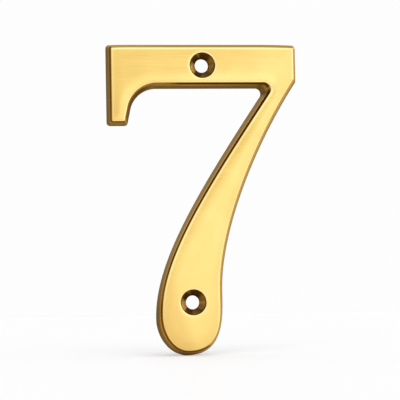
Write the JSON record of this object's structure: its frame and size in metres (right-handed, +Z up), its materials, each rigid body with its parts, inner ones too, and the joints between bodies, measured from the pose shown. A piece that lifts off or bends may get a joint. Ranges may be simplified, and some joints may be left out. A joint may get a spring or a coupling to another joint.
{
  "type": "door number",
  "caption": "Cast and polished brass figure seven for a door, with a bevelled edge, a drafted wall and countersunk holes for wood screws.",
  "frame": {"origin": "axis of the upper screw hole, in the flat back that lies against the door", "axes": "+Z up along the figure's height, +X to the reader's right, +Y into the door, so the polished face looks along -Y"},
  "size_m": [0.0629, 0.0055, 0.1018],
  "materials": {
    "polished_brass": "polished, with fine linear brushing"
  },
  "bodies": {
    "root": {"numeral_seven": "polished_brass"}
  },
  "joints": []
}
